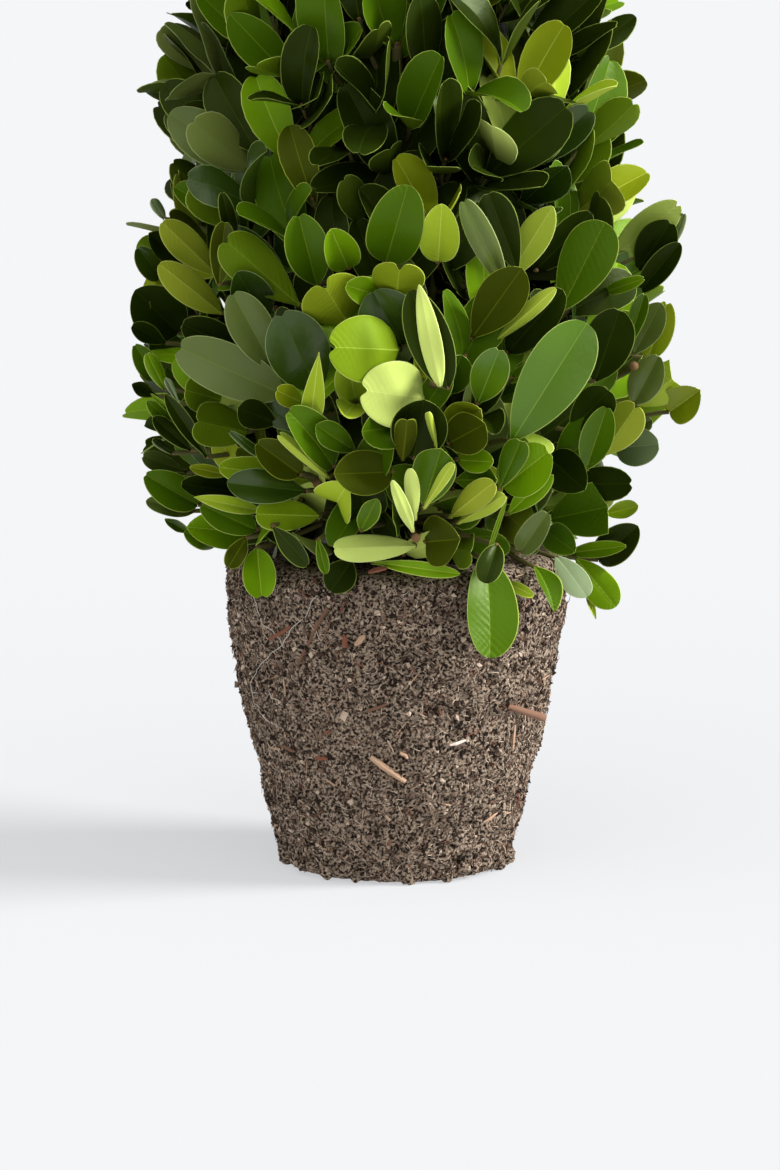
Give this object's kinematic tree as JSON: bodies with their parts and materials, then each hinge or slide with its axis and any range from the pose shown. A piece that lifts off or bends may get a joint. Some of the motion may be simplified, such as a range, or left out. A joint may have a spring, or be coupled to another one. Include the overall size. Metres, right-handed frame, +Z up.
{
  "type": "boxwood cone topiary",
  "caption": "Clipped cone of leafy boxwood shoots on one trunk, standing on its bare, tapered root ball as lifted from a pot.",
  "frame": {"origin": "middle of the root ball's flat underside", "axes": "+Z up along the trunk, and the side seen from the front faces -Y"},
  "size_m": [0.1329, 0.1298, 0.4058],
  "materials": {
    "soil": "rough, matte, fibrous peat with bark chips",
    "bark": "rough grey-brown bark",
    "foliage": "leathery leaves, glossy dark green above and pale yellow-green below"
  },
  "bodies": {
    "root": {"root_ball": "soil", "trunk": "bark", "foliage_lower": "foliage", "foliage_middle": "foliage", "foliage_top": "foliage"}
  },
  "joints": []
}
